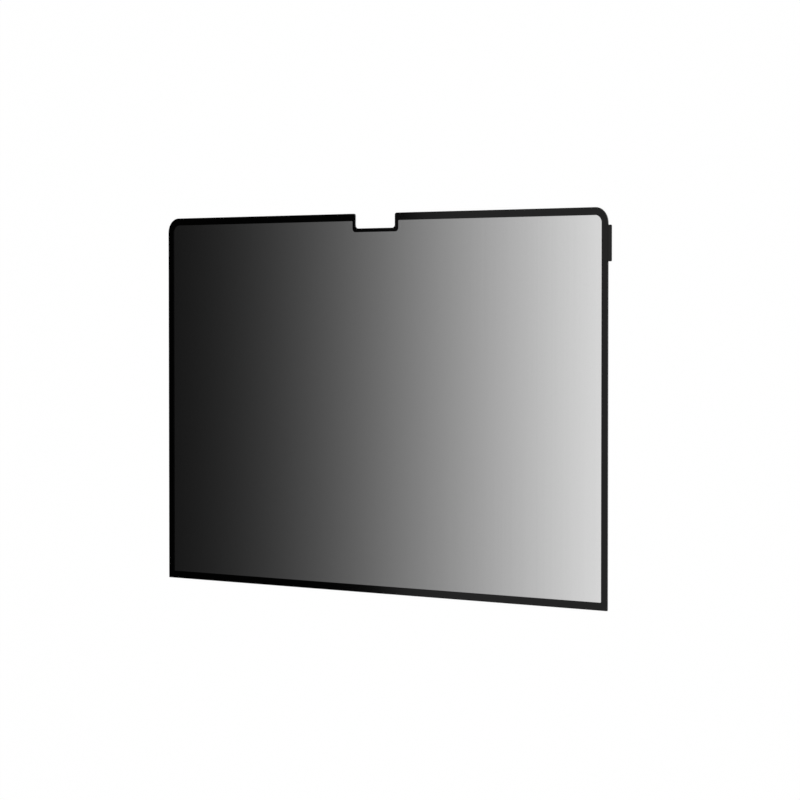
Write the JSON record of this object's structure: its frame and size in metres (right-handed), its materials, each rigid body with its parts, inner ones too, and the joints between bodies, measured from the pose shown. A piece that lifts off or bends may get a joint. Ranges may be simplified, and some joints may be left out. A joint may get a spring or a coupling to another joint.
{
  "type": "laptop privacy filter",
  "caption": "Thin privacy sheet for a laptop display: louvre film in a black border, with rounded upper corners, a camera notch, hidden magnets and a pull tab.",
  "frame": {"origin": "middle of the sheet's outline, without the pull tab, on the back face that the filter lies on", "axes": "+X along the upper and lower edges towards the side with the pull tab, +Y towards the edge with the camera notch, +Z out of the face that the user looks at"},
  "size_m": [0.3126, 0.2044, 0.0006],
  "materials": {
    "louvre_film": "see-through louvre film with an anti-glare face: over white it is black at one side and pale grey at the other",
    "border_film": "black polyester film with a soft gloss",
    "tab_film": "black polyester film, satin",
    "magnet": "bonded magnet strip, dull grey"
  },
  "bodies": {
    "root": {"back_border": "border_film", "privacy_film": "louvre_film", "front_border": "border_film", "pull_tab": "tab_film", "magnet_top_left": "magnet", "magnet_top_right": "magnet", "magnet_bottom_left": "magnet", "magnet_bottom_right": "magnet"}
  },
  "joints": []
}
